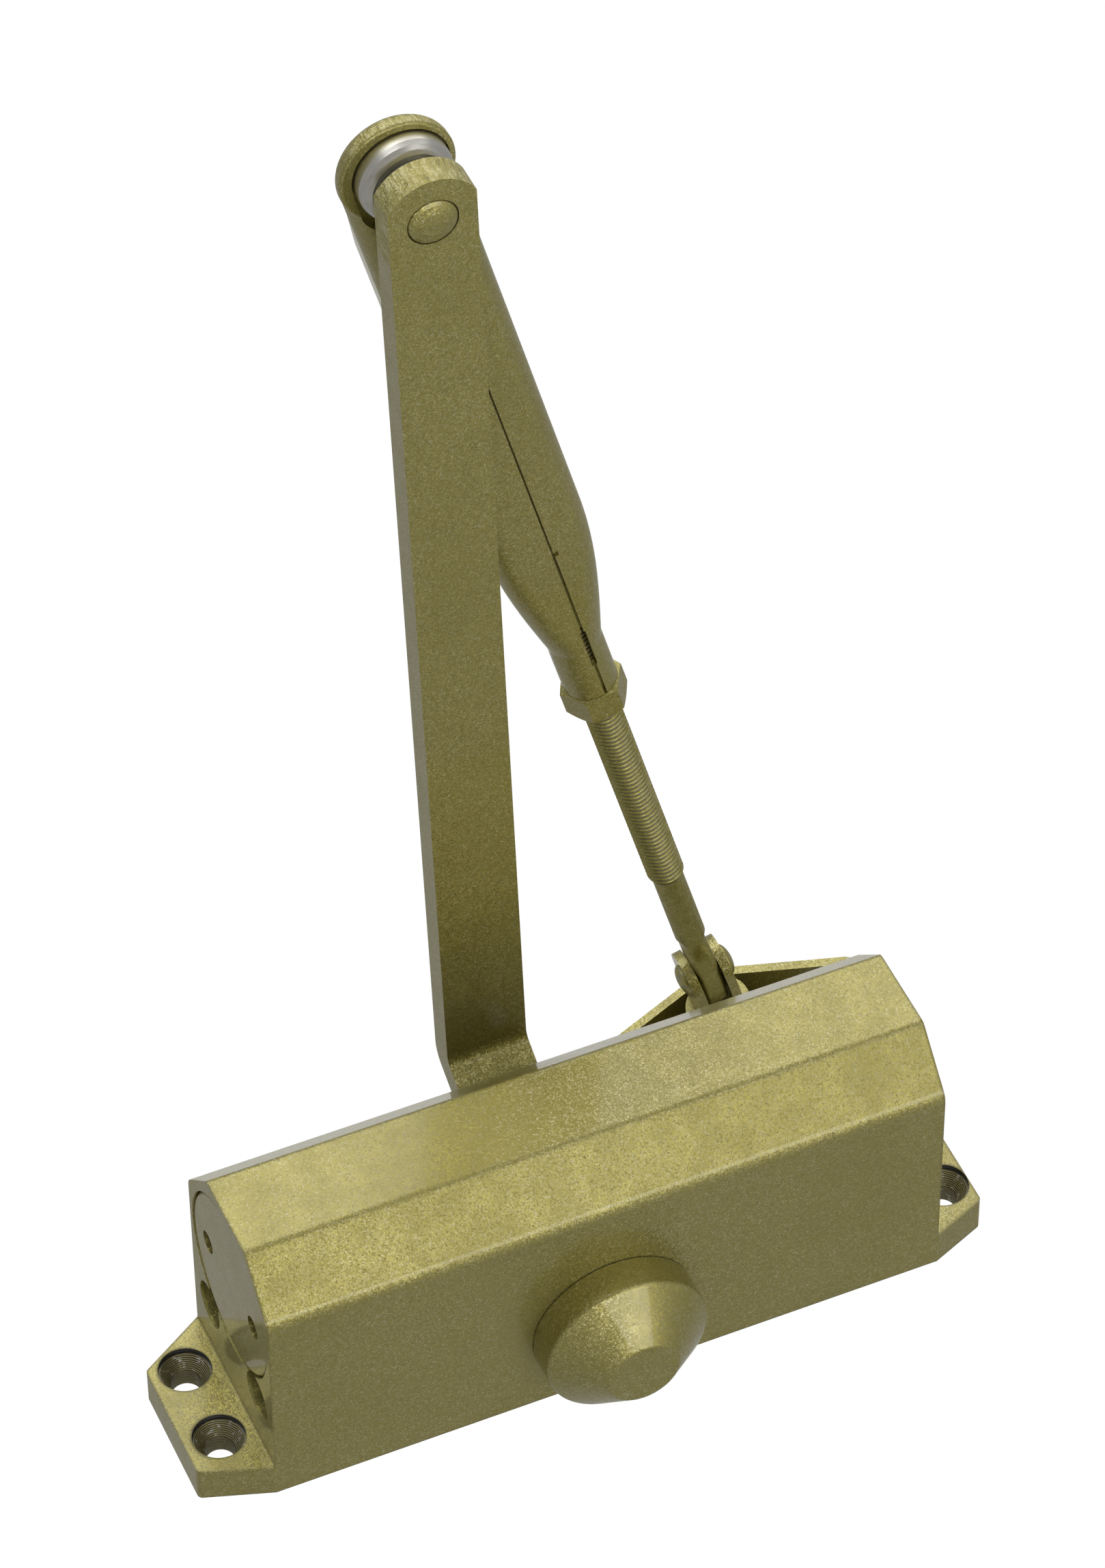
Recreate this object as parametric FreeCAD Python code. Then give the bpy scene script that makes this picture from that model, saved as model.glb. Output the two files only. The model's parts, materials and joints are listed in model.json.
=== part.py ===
import FreeCAD, Part
import math
import os
from FreeCAD import Placement, Rotation, Vector

# Overhead rack-and-pinion door closer, millimetres.
# Origin: middle of the four fixing holes, on the back face. +Z is up, along the pinion.
# X runs along the body. The back face is Y = 0 and the body stands out towards -Y.

# ---- body casting ----
BODY_LENGTH = 147.0
BODY_HEIGHT = 42.0
SIDE_DEPTH = 51.9
BODY_DEPTH = 63.4
TOP_HEIGHT = 19.8
FRONT_EDGE_ROUND = 2.0
SIDE_EDGE_ROUND = 4.0
LUG_THICKNESS = 8.4
LEFT_LUG_LENGTH = 14.8
RIGHT_LUG_LENGTH = 12.2
LUG_TIP_LOW = -16.0
LUG_TIP_HIGH = 12.0
LUG_ROUND = 1.2
HOLE_SPACING_X = 161.0
HOLE_SPACING_Z = 18.5
HOLE_RADIUS = 3.1
SINK_RADIUS = 5.5
SINK_LIP = 1.1
SINK_DEPTH = 4.2
LEFT_HOLE_OFFSET = 7.4

BODY_LEFT = -HOLE_SPACING_X / 2 + LEFT_HOLE_OFFSET
BODY_RIGHT = BODY_LEFT + BODY_LENGTH
HALF_HEIGHT = BODY_HEIGHT / 2

# ---- cylinder bore, plugs and valves ----
BORE_Y = -42.3
BORE_RADIUS = 17.5
PLUG_RADIUS = 19.3
PLUG_SEAT_RADIUS = 19.6
PLUG_DEPTH = 12.0
PLUG_RECESS = 0.2
PLUG_NOSE_RADIUS = 17.4
NOSE_LENGTH = 4.5
SPANNER_RADIUS = 2.5
SPANNER_OFFSET = 11.85
SPANNER_DEPTH = 5.0
VALVE_Y = -21.7
VALVE_OFFSET = 12.6
VALVE_RECESS_RADIUS = 5.2
VALVE_RECESS_DEPTH = 6.0
VALVE_BORE_RADIUS = 3.6
VALVE_BORE_DEPTH = 30.0
OILWAY_RADIUS = 1.5

# ---- pinion, rack and piston ----
PINION_X = 0.8
PINION_Y = -18.4
GEAR_MODULE = 1.5
GEAR_TEETH = 12
PITCH_RADIUS = GEAR_MODULE * GEAR_TEETH / 2
GEAR_TIP_RADIUS = PITCH_RADIUS + 1.3
GEAR_ROOT_RADIUS = PITCH_RADIUS - 1.75
GEAR_HALF_WIDTH = 6.0
PRESSURE_ANGLE = math.radians(20)
BACKLASH = 0.5
CHAMBER_RADIUS = 11.2
CHAMBER_BOTTOM = -16.0
CHAMBER_TOP = 11.0
LOWER_JOURNAL_RADIUS = 6.0
LOWER_END_Z = -16.5
UPPER_JOURNAL_RADIUS = 8.0
FIT = 0.04
ARM_SEAT_Z = 31.0
BUSH_RADIUS = 10.5
BUSH_BOTTOM = 11.6
BUSH_TOP = 16.2
SEAL_TOP = 18.8
RETAINER_Z = 19.0
RETAINER_RADIUS = 12.2
RETAINER_TOP = 22.5
SQUARE_SIDE = 8.0
ARM_SCREW_RADIUS = 2.45
PISTON_LEFT = -56.0
PISTON_RIGHT = 12.0
PISTON_RADIUS = BORE_RADIUS - 0.05
POCKET_RADIUS = 11.5
POCKET_START = -28.0
RACK_START = -36.0
RACK_END = 10.5
RACK_TIP_Y = PINION_Y - PITCH_RADIUS - 0.1 + 1.1
RACK_TOOTH_HEIGHT = 2.8
BALL_RADIUS = 2.5
BALL_SEAT_X = PISTON_LEFT + 10
BALL_GAP = 0.3
STOP_LENGTH = 2.8
RETAINER_DISC_RADIUS = 5.0
SEAT_THICKNESS = 3.0
SPRING_WIRE = 4.4
SPRING_RADIUS = 8.8
SPRING_TURNS = 10.5
SPRING_SEAT_X = BODY_RIGHT - PLUG_DEPTH - NOSE_LENGTH - SEAT_THICKNESS

# ---- bearing cap and spindle cap ----
OPENING_RADIUS = 14.2
OPENING_TOP = -14.8
CAP_PLUG_TOP = -15.0
CAP_NOSE_RADIUS = 9.8
CAP_NOSE_TOP = -11.0
CAP_SOCKET_RADIUS = 8.0
CAP_SOCKET_FLOOR = -17.0
CAP_GROOVE_LOW = -18.9
CAP_GROOVE_HIGH = -16.5
CAP_FLANGE_RADIUS = 15.7
CAP_FLANGE = 2.5
SPINDLE_CAP_RADIUS = 17.6
SPINDLE_CAP_RIM = 7.0
SPINDLE_CAP_DEPTH = 15.4
SPINDLE_CAP_FLAT = 7.7
SPINDLE_CAP_WALL = 1.7

# ---- main arm ----
ARM_LENGTH = 249.0
ARM_ANGLE = 1.8
ARM_THICKNESS = 6.5
ARM_HALF_WIDTH = 8.8
ARM_EYE_RADIUS = 11.3
ARM_TIP_RADIUS = 9.9
ARM_BAR_Z = 41.4
JOGGLE_START = 10.5
JOGGLE_END = 17.5

# ---- forearm ----
FOREARM_ANGLE = 14.7
PIN_DISTANCE = 265.0
TUBE_Z = 62.9
TUBE_OFFSET = 0.9
PAN_RADIUS = 11.6
PAN_CENTRE = 0.3
PAN_MOUTH_RADIUS = 9.8
PAN_MOUTH_Z = 56.3
PAN_FLOOR_Z = 58.2
PAN_BACK_Z = 60.6
MOUTH_HALF_WIDTH = 9.0
MOUTH_END = 12.0
RAMP_START = 8.0
RAMP_END = 32.0
SHEET = 2.2
TUBE_START = 3.4
TUBE_END = 161.0
TUBE_RADIUS = 5.7
TUBE_WIDE = 10.8
TUBE_HIGH = 6.6
TUBE_CORNER = 4.4
TUBE_FLAT = 0.2
TAPER_START = 107.0
TAPER_END = 147.0
TAPER_STEPS = 8
HOLLOW_END = 128.0
SEAM_START = 12.0
SEAM_NOTCH = 115.5
SLIT_START = 140.5
SLIT_END = 151.0
SEAM_X = 1.2

# ---- elbow ----
RIVET_RADIUS = 4.0
RIVET_HEAD_RADIUS = 5.0
HEAD_SINK = 1.6
SPACER_RADIUS = 9.4
SPACER_BOTTOM = 51.6

# ---- adjuster rod ----
THREAD_RADIUS = 3.95
THREAD_PITCH = 1.25
THREAD_DEPTH = 0.68
THREAD_START = 120.0
THREAD_END = 229.0
SHANK_RADIUS = 3.3
SHANK_END = 251.0
EYE_THICKNESS = 5.2
EYE_HALF_WIDTH = 4.9
EYE_OVERRUN = 9.3
NUT_FLATS = 12.0
NUT_HEIGHT = 6.8

# ---- fork and shoe ----
PIN_RADIUS = 2.5
SWIVEL_RADIUS = 2.5
FORK_GAP = 5.4
FORK_SHEET = 2.0
FORK_EAR_RADIUS = 6.2
FORK_BASE = 10.4
BOSS_TOP = FORK_BASE + FORK_SHEET + 0.1
BOSS_TOP_RADIUS = 7.0
BOSS_FOOT_RADIUS = 9.9
SHOE_RIM = 17.8
SHOE_FLOOR = 26.0
SHOE_SHEET = 2.0
SHOE_RADIUS = 12.9
SHOE_TIP_RADIUS = 3.4
SHOE_TIP_OFFSET = 27.6
SHOE_TURN = 8.0
SHOE_HOLE_OFFSET = 17.5
SHOE_HOLE_RADIUS = 2.6

X_AXIS = Vector(1, 0, 0)
Y_AXIS = Vector(0, 1, 0)
Z_AXIS = Vector(0, 0, 1)


# ---- small helpers ----
def rod(radius, start, direction, length):
    return Part.makeCylinder(radius, length, Vector(*start), direction)


def ring(outer, inner, start, direction, length):
    return rod(outer, start, direction, length).cut(rod(inner, start, direction, length))


def block(low, high):
    size = [high[i] - low[i] for i in range(3)]
    return Part.makeBox(size[0], size[1], size[2], Vector(*low))


def prism(points, direction):
    wire = Part.makePolygon([Vector(*p) for p in points + points[:1]])
    return Part.Face(wire).extrude(direction)


def turned(profile, centre, axis):
    """A solid of revolution. profile is a list of (radius, height) points."""
    wire = Part.makePolygon([Vector(r, 0, h) for r, h in profile + profile[:1]])
    solid = Part.Face(wire).revolve(Vector(0, 0, 0), Z_AXIS, 360)
    solid.Placement = Placement(Vector(*centre), Rotation(Z_AXIS, axis))
    return solid


def round_edges(shape, radius, wanted):
    edges = [e for e in shape.Edges if wanted(e)]
    return shape.makeFillet(radius, edges)


def runs_along(edge, axis):
    if edge.Curve.TypeId != "Part::GeomLine":
        return False
    return abs(abs(edge.tangentAt(edge.FirstParameter).dot(axis)) - 1) < 1e-6


def save(name, shape):
    solids = shape.Solids
    if not solids or not all(s.isValid() for s in solids):
        raise ValueError(name + " is not a valid solid")
    result = solids[0] if len(solids) == 1 else Part.makeCompound(solids)
    result.exportStep("parts/" + name + ".step")
    print(f"{name:18s} solids {len(solids)} volume {result.Volume:9.0f}")


# ---- body ----
def lug(body_end, tip):
    outline = [(body_end, 0, -HALF_HEIGHT), (tip, 0, LUG_TIP_LOW),
               (tip, 0, LUG_TIP_HIGH), (body_end, 0, HALF_HEIGHT)]
    plate = prism(outline, Vector(0, -LUG_THICKNESS, 0))

    def at_tip(edge):
        return runs_along(edge, Y_AXIS) and abs(edge.Vertexes[0].X - tip) < 0.01

    return round_edges(plate, LUG_ROUND, at_tip)


def fixing_hole(x, z):
    shaft = rod(HOLE_RADIUS, (x, 1, z), -Y_AXIS, LUG_THICKNESS + 2)
    lip = rod(SINK_RADIUS, (x, -LUG_THICKNESS - 1, z), Y_AXIS, 1 + SINK_LIP)
    cone = Part.makeCone(SINK_RADIUS - 0.4, HOLE_RADIUS, SINK_DEPTH - SINK_LIP,
                         Vector(x, -LUG_THICKNESS + SINK_LIP, z), Y_AXIS)
    return shaft.fuse(lip).fuse(cone)


def make_body():
    half_top = TOP_HEIGHT / 2
    outline = [(BODY_LEFT, 0, -HALF_HEIGHT), (BODY_LEFT, -SIDE_DEPTH, -HALF_HEIGHT),
               (BODY_LEFT, -BODY_DEPTH, -half_top), (BODY_LEFT, -BODY_DEPTH, half_top),
               (BODY_LEFT, -SIDE_DEPTH, HALF_HEIGHT), (BODY_LEFT, 0, HALF_HEIGHT)]
    shell = prism(outline, Vector(BODY_LENGTH, 0, 0))

    def side_edge(edge):
        return runs_along(edge, X_AXIS) and abs(edge.Vertexes[0].Y + SIDE_DEPTH) < 0.01

    def front_edge(edge):
        return runs_along(edge, X_AXIS) and edge.Vertexes[0].Y < -BODY_DEPTH + 0.01

    shell = round_edges(shell, SIDE_EDGE_ROUND, side_edge)
    shell = round_edges(shell, FRONT_EDGE_ROUND, front_edge)
    body = shell.fuse(lug(BODY_LEFT, BODY_LEFT - LEFT_LUG_LENGTH))
    body = body.fuse(lug(BODY_RIGHT, BODY_RIGHT + RIGHT_LUG_LENGTH))
    for x in (-HOLE_SPACING_X / 2, HOLE_SPACING_X / 2):
        for z in (-HOLE_SPACING_Z / 2, HOLE_SPACING_Z / 2):
            body = body.cut(fixing_hole(x, z))
    cuts = [rod(BORE_RADIUS, (BODY_LEFT - 1, BORE_Y, 0), X_AXIS, BODY_LENGTH + 2),
            rod(PLUG_SEAT_RADIUS, (BODY_LEFT - 1, BORE_Y, 0), X_AXIS, PLUG_DEPTH + 1),
            rod(PLUG_SEAT_RADIUS, (BODY_RIGHT + 1, BORE_Y, 0), -X_AXIS, PLUG_DEPTH + 1),
            rod(CHAMBER_RADIUS, (PINION_X, PINION_Y, CHAMBER_BOTTOM), Z_AXIS, CHAMBER_TOP - CHAMBER_BOTTOM),
            rod(OPENING_RADIUS, (PINION_X, PINION_Y, -HALF_HEIGHT - 1), Z_AXIS,
                HALF_HEIGHT + 1 + OPENING_TOP),
            rod(BUSH_RADIUS, (PINION_X, PINION_Y, 0), Z_AXIS, RETAINER_Z),
            rod(RETAINER_RADIUS, (PINION_X, PINION_Y, RETAINER_Z), Z_AXIS, HALF_HEIGHT)]
    for side in (-1, 1):
        z = side * VALVE_OFFSET
        cuts.append(rod(VALVE_RECESS_RADIUS, (BODY_LEFT - 1, VALVE_Y, z), X_AXIS, VALVE_RECESS_DEPTH + 1))
        cuts.append(rod(VALVE_BORE_RADIUS, (BODY_LEFT, VALVE_Y, z), X_AXIS, VALVE_BORE_DEPTH))
        oilway_x = BODY_LEFT + VALVE_BORE_DEPTH - 4
        cuts.append(rod(OILWAY_RADIUS, (oilway_x, VALVE_Y, z), -Y_AXIS, -VALVE_Y))
    for tool in cuts:
        body = body.cut(tool)
    return body


def make_plug(face_x, inward):
    start = face_x + inward.x * PLUG_RECESS
    disc_length = PLUG_DEPTH - PLUG_RECESS - 0.3
    plug = rod(PLUG_RADIUS, (start, BORE_Y, 0), inward, disc_length)
    plug = plug.makeChamfer(0.5, [e for e in plug.Edges if abs(e.Length - 2 * math.pi * PLUG_RADIUS) < 0.01])
    nose_start = start + inward.x * disc_length
    plug = plug.fuse(rod(PLUG_NOSE_RADIUS, (nose_start, BORE_Y, 0), inward, NOSE_LENGTH))
    groove_start = nose_start + inward.x * NOSE_LENGTH * 0.3
    groove = ring(PLUG_RADIUS, PLUG_NOSE_RADIUS - 1.6, (groove_start, BORE_Y, 0), inward, 2.4)
    plug = plug.cut(groove)
    for side in (-1, 1):
        z = side * SPANNER_OFFSET
        plug = plug.cut(rod(SPANNER_RADIUS, (start, BORE_Y, z), inward, SPANNER_DEPTH))
    return plug, groove_start + inward.x * 1.2


def o_ring(mean_radius, section_radius, centre, axis):
    return Part.makeTorus(mean_radius, section_radius, Vector(*centre), axis)


def make_valve(side):
    """A slotted needle screw whose head lies at the bottom of its recess."""
    z = side * VALVE_OFFSET
    head_x = BODY_LEFT + 3.0
    head = rod(4.5, (head_x, VALVE_Y, z), X_AXIS, 2.7)
    slot = block((head_x - 1, VALVE_Y - 0.6, z - 6), (head_x + 1.2, VALVE_Y + 0.6, z + 6))
    stem = rod(VALVE_BORE_RADIUS - 0.08, (head_x + 2.7, VALVE_Y, z), X_AXIS, 17)
    groove = ring(6, 2.3, (head_x + 8, VALVE_Y, z), X_AXIS, 2.2)
    needle = Part.makeCone(2.4, 0.8, 6, Vector(head_x + 19.7, VALVE_Y, z), X_AXIS)
    return head.cut(slot).fuse(stem).cut(groove).fuse(needle)


# ---- pinion, rack and piston ----
def gear_outline():
    """Twelve involute teeth. The first tooth points to -Y, at the rack."""
    base_radius = PITCH_RADIUS * math.cos(PRESSURE_ANGLE)

    def involute(radius):
        if radius <= base_radius:
            return 0.0
        angle = math.acos(base_radius / radius)
        return math.tan(angle) - angle

    half_pitch = (math.pi * GEAR_MODULE - BACKLASH) / (4 * PITCH_RADIUS) + involute(PITCH_RADIUS)
    radii = [GEAR_ROOT_RADIUS, base_radius, PITCH_RADIUS, PITCH_RADIUS + 0.7, GEAR_TIP_RADIUS]
    points = []
    for tooth in range(GEAR_TEETH):
        middle = -math.pi / 2 + tooth * 2 * math.pi / GEAR_TEETH
        for side, order in ((-1, radii), (1, radii[::-1])):
            for radius in order:
                angle = middle + side * (half_pitch - involute(radius))
                points.append((PINION_X + radius * math.cos(angle), PINION_Y + radius * math.sin(angle)))
    return points


def make_pinion():
    gear = prism([(x, y, -GEAR_HALF_WIDTH) for x, y in gear_outline()], Vector(0, 0, 2 * GEAR_HALF_WIDTH))
    profile = [(0, LOWER_END_Z), (LOWER_JOURNAL_RADIUS - 1, LOWER_END_Z),
               (LOWER_JOURNAL_RADIUS, LOWER_END_Z + 1), (LOWER_JOURNAL_RADIUS, -GEAR_HALF_WIDTH),
               (UPPER_JOURNAL_RADIUS, GEAR_HALF_WIDTH), (UPPER_JOURNAL_RADIUS, ARM_SEAT_Z - 0.5),
               (UPPER_JOURNAL_RADIUS - 0.5, ARM_SEAT_Z), (0, ARM_SEAT_Z)]
    shaft = turned(profile, (PINION_X, PINION_Y, 0), Z_AXIS)
    half = SQUARE_SIDE / 2
    square = block((-half, -half, ARM_SEAT_Z - 1), (half, half, ARM_SEAT_Z + ARM_THICKNESS - 0.4))
    square.Placement = arm_place()
    shaft = shaft.fuse(gear).fuse(square)
    return shaft.cut(rod(ARM_SCREW_RADIUS + 0.05, (PINION_X, PINION_Y, 22), Z_AXIS, 30))


def arm_place():
    return Placement(Vector(PINION_X, PINION_Y, 0), Rotation(Z_AXIS, 180 - ARM_ANGLE))


def rack_gap(centre_x):
    """The space between two rack teeth, open at the flat of the piston."""
    pitch_y = PINION_Y - PITCH_RADIUS
    half = (math.pi * GEAR_MODULE + BACKLASH) / 4
    slope = math.tan(PRESSURE_ANGLE)
    top_y = RACK_TIP_Y + 1
    root_y = RACK_TIP_Y - RACK_TOOTH_HEIGHT
    top = half + (top_y - pitch_y) * slope
    root = half - (pitch_y - root_y) * slope
    outline = [(centre_x - top, top_y, -20), (centre_x - root, root_y, -20),
               (centre_x + root, root_y, -20), (centre_x + top, top_y, -20)]
    return prism(outline, Vector(0, 0, 40))


def make_piston():
    piston = rod(PISTON_RADIUS, (PISTON_LEFT, BORE_Y, 0), X_AXIS, PISTON_RIGHT - PISTON_LEFT)
    piston = piston.cut(rod(POCKET_RADIUS, (POCKET_START, BORE_Y, 0), X_AXIS, 60))
    flat = block((RACK_START, RACK_TIP_Y, -20), (RACK_END, 0, 20))
    piston = piston.cut(flat)
    pitch = math.pi * GEAR_MODULE
    for index in range(-7, 2):
        piston = piston.cut(rack_gap(PINION_X + index * pitch))
    piston = piston.cut(rod(1.6, (PISTON_LEFT - 1, BORE_Y, 0), X_AXIS, 40))
    piston = piston.cut(rod(3.2, (PISTON_LEFT - 1, BORE_Y, 0), X_AXIS, BALL_SEAT_X - PISTON_LEFT + 1))
    return piston.cut(rod(RETAINER_DISC_RADIUS, (PISTON_LEFT - 1, BORE_Y, 0), X_AXIS, 2.5))


def make_ball():
    seat_reach = math.sqrt(BALL_RADIUS ** 2 - 1.6 ** 2)
    return Part.makeSphere(BALL_RADIUS, Vector(BALL_SEAT_X - seat_reach - BALL_GAP, BORE_Y, 0))


def make_check_retainer():
    disc = rod(RETAINER_DISC_RADIUS - 0.05, (PISTON_LEFT + 0.2, BORE_Y, 0), X_AXIS, 1.2)
    for turn in range(3):
        angle = turn * 2 * math.pi / 3
        centre = (PISTON_LEFT, BORE_Y + 2.8 * math.cos(angle), 2.8 * math.sin(angle))
        disc = disc.cut(rod(0.9, centre, X_AXIS, 3))
    stop = rod(1.5, (PISTON_LEFT + 1.4, BORE_Y, 0), X_AXIS, STOP_LENGTH)
    return disc.fuse(stop)


def make_spring():
    start = POCKET_START + SPRING_WIRE / 2 + 0.2
    end = SPRING_SEAT_X - SPRING_WIRE / 2 - 0.2
    pitch = (end - start) / SPRING_TURNS
    helix = Part.makeHelix(pitch, end - start, SPRING_RADIUS)
    section = Part.Wire(Part.makeCircle(SPRING_WIRE / 2, Vector(SPRING_RADIUS, 0, 0), Y_AXIS))
    coil = Part.Wire(helix.Edges).makePipeShell([section], True, True)
    coil.Placement = Placement(Vector(start, BORE_Y, 0), Rotation(Z_AXIS, X_AXIS))
    return coil


def make_spring_seat():
    disc = rod(PLUG_NOSE_RADIUS - 0.6, (SPRING_SEAT_X, BORE_Y, 0), X_AXIS, SEAT_THICKNESS)
    spigot = rod(6.0, (SPRING_SEAT_X, BORE_Y, 0), -X_AXIS, 6)
    return disc.fuse(spigot).cut(rod(3, (SPRING_SEAT_X - 10, BORE_Y, 0), X_AXIS, 20))


# ---- bearing cap, spindle cap and top seal ----
def make_bearing_cap():
    bottom = -HALF_HEIGHT - CAP_FLANGE
    plug = OPENING_RADIUS - 0.1
    groove = plug - 1.5
    profile = [(0, bottom), (CAP_FLANGE_RADIUS, bottom), (CAP_FLANGE_RADIUS, -HALF_HEIGHT),
               (plug, -HALF_HEIGHT), (plug, CAP_GROOVE_LOW), (groove, CAP_GROOVE_LOW),
               (groove, CAP_GROOVE_HIGH), (plug, CAP_GROOVE_HIGH), (plug, CAP_PLUG_TOP),
               (CAP_NOSE_RADIUS, CAP_PLUG_TOP), (CAP_NOSE_RADIUS, CAP_NOSE_TOP),
               (CAP_SOCKET_RADIUS, CAP_NOSE_TOP), (CAP_SOCKET_RADIUS, CAP_SOCKET_FLOOR),
               (0, CAP_SOCKET_FLOOR)]
    cap = turned(profile, (PINION_X, PINION_Y, 0), Z_AXIS)
    for turn in range(4):
        angle = turn * math.pi / 2
        centre = (PINION_X + 10 * math.cos(angle), PINION_Y + 10 * math.sin(angle), -HALF_HEIGHT - CAP_FLANGE)
        cap = cap.cut(rod(2.0, centre, Z_AXIS, 2))
    return cap


def make_spindle_cap():
    gap = 0.2
    top = -HALF_HEIGHT - gap
    rim = top - SPINDLE_CAP_RIM
    end = top - SPINDLE_CAP_DEPTH
    centre = (PINION_X, PINION_Y, 0)
    outside = turned([(0, top), (SPINDLE_CAP_RADIUS, top), (SPINDLE_CAP_RADIUS, rim),
                      (SPINDLE_CAP_FLAT, end), (0, end)], centre, Z_AXIS)

    def outer_circle(edge):
        return edge.Curve.TypeId == "Part::GeomCircle" and edge.BoundBox.ZMax < top - 1

    outside = round_edges(outside, 1.1, outer_circle)
    wall = SPINDLE_CAP_WALL
    bore = CAP_FLANGE_RADIUS + 0.05
    inside = turned([(0, top + 1), (bore, top + 1), (bore, rim + wall / 2),
                     (SPINDLE_CAP_FLAT - wall / 2, end + wall), (0, end + wall)], centre, Z_AXIS)
    return outside.cut(inside)


def make_seal():
    lip, wall, outside = UPPER_JOURNAL_RADIUS + 0.06, UPPER_JOURNAL_RADIUS + 1.2, BUSH_RADIUS - 0.02
    bottom, web_top = BUSH_TOP + 0.1, BUSH_TOP + 1.1
    profile = [(lip, bottom), (outside, bottom), (outside, SEAL_TOP), (wall, SEAL_TOP),
               (wall, web_top), (lip, web_top)]
    return turned(profile, (PINION_X, PINION_Y, 0), Z_AXIS)


def make_seal_retainer():
    nut = ring(RETAINER_RADIUS - 0.1, UPPER_JOURNAL_RADIUS + 0.6, (PINION_X, PINION_Y, RETAINER_Z), Z_AXIS,
               RETAINER_TOP - RETAINER_Z)
    for turn in range(2):
        low = (-RETAINER_RADIUS - 1, -1.25, RETAINER_TOP - 1.2)
        slot = block(low, (RETAINER_RADIUS + 1, 1.25, RETAINER_TOP + 1))
        slot.Placement = Placement(Vector(PINION_X, PINION_Y, 0), Rotation(Z_AXIS, 90 * turn))
        nut = nut.cut(slot)
    return nut


# ---- main arm, drawn along +Y from the pinion and then turned into place ----
def make_main_arm():
    seat, bar, thick = ARM_SEAT_Z, ARM_BAR_Z, ARM_THICKNESS
    run = JOGGLE_END - JOGGLE_START
    rise = bar - seat
    back_shift = thick * (math.hypot(run, rise) - run) / rise
    far = ARM_LENGTH + ARM_TIP_RADIUS + 1
    near = -ARM_EYE_RADIUS - 1
    side = [(near, seat), (JOGGLE_START, seat), (JOGGLE_END, bar), (far, bar), (far, bar + thick),
            (JOGGLE_END - back_shift, bar + thick), (JOGGLE_START - back_shift, seat + thick),
            (near, seat + thick)]
    profile = prism([(-20, y, z) for y, z in side], Vector(40, 0, 0))
    bends = {JOGGLE_START: 5.0, JOGGLE_END: 3.0, JOGGLE_END - back_shift: 6.0, JOGGLE_START - back_shift: 1.5}
    for bend_y, radius in bends.items():

        def at_bend(edge, y=bend_y):
            return runs_along(edge, X_AXIS) and abs(edge.Vertexes[0].Y - y) < 0.01

        profile = round_edges(profile, radius, at_bend)
    low = seat - 1
    height = bar + thick + 2 - low
    eye = rod(ARM_EYE_RADIUS, (0, 0, low), Z_AXIS, height)
    strip = block((-ARM_HALF_WIDTH, 0, low), (ARM_HALF_WIDTH, ARM_LENGTH, low + height))
    tip = rod(ARM_TIP_RADIUS, (0, ARM_LENGTH, low), Z_AXIS, height)
    tip = tip.common(block((-ARM_HALF_WIDTH, ARM_LENGTH - 20, low), (ARM_HALF_WIDTH, far, low + height)))
    arm = profile.common(eye.fuse(strip).fuse(tip))
    half = SQUARE_SIDE / 2 + FIT
    arm = arm.cut(block((-half, -half, low), (half, half, seat + thick + 1)))
    arm = arm.cut(rod(RIVET_RADIUS + FIT, (0, ARM_LENGTH, low), Z_AXIS, height))
    arm = arm.cut(rod(RIVET_HEAD_RADIUS + 0.15, (0, ARM_LENGTH, bar), Z_AXIS, HEAD_SINK))
    arm.Placement = arm_place()
    return arm


def elbow_point():
    return arm_place().multVec(Vector(0, ARM_LENGTH, 0))


def make_arm_screw():
    top = ARM_SEAT_Z + ARM_THICKNESS + 1.6
    head = hexagon(10.0, 4.0)
    head.translate(Vector(0, 0, top))
    shank = rod(ARM_SCREW_RADIUS, (0, 0, 24), Z_AXIS, top - 24)
    screw = head.fuse(shank)
    screw.Placement = arm_place()
    return screw


def hexagon(flats, height):
    """A hexagonal prism with chamfered corners at both ends, standing on Z = 0."""
    corner = flats / math.sqrt(3)
    points = [(corner * math.cos(math.radians(60 * i)), corner * math.sin(math.radians(60 * i)), 0)
              for i in range(6)]
    body = prism(points, Vector(0, 0, height))
    limit = flats / 2 * 0.96
    slope = (corner - limit) * 0.55
    reach = corner + 0.05
    profile = [(0, 0), (limit, 0), (reach, slope), (reach, height - slope), (limit, height), (0, height)]
    cone = turned(profile, (0, 0, 0), Z_AXIS)
    return body.common(cone)


def make_elbow_rivet():
    """One rivet through both arms: a shallow dome below, a peened head on top."""
    x, y = elbow_point().x, elbow_point().y
    seat = ARM_BAR_Z + HEAD_SINK - 0.05
    back = PAN_BACK_Z + 0.1
    profile = [(0, ARM_BAR_Z - 1.0), (2.5, ARM_BAR_Z - 0.8), (RIVET_HEAD_RADIUS - 0.9, ARM_BAR_Z - 0.35),
               (RIVET_HEAD_RADIUS - 0.2, ARM_BAR_Z), (RIVET_HEAD_RADIUS, ARM_BAR_Z + 0.4),
               (RIVET_HEAD_RADIUS, seat), (RIVET_RADIUS, seat), (RIVET_RADIUS, back), (6.5, back),
               (6.2, back + 0.8), (4.6, back + 1.7), (2.0, back + 2.2), (0, back + 2.3)]
    return turned(profile, (x, y, 0), Z_AXIS)


# ---- forearm side, drawn along +Y from the elbow and then turned into place ----
def forearm_place():
    """The frame of the tube, which runs a little to one side of the elbow rivet."""
    tube_line = Placement(Vector(-TUBE_OFFSET, 0, 0), Rotation())
    return Placement(elbow_point(), Rotation(Z_AXIS, -FOREARM_ANGLE)).multiply(tube_line)


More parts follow.
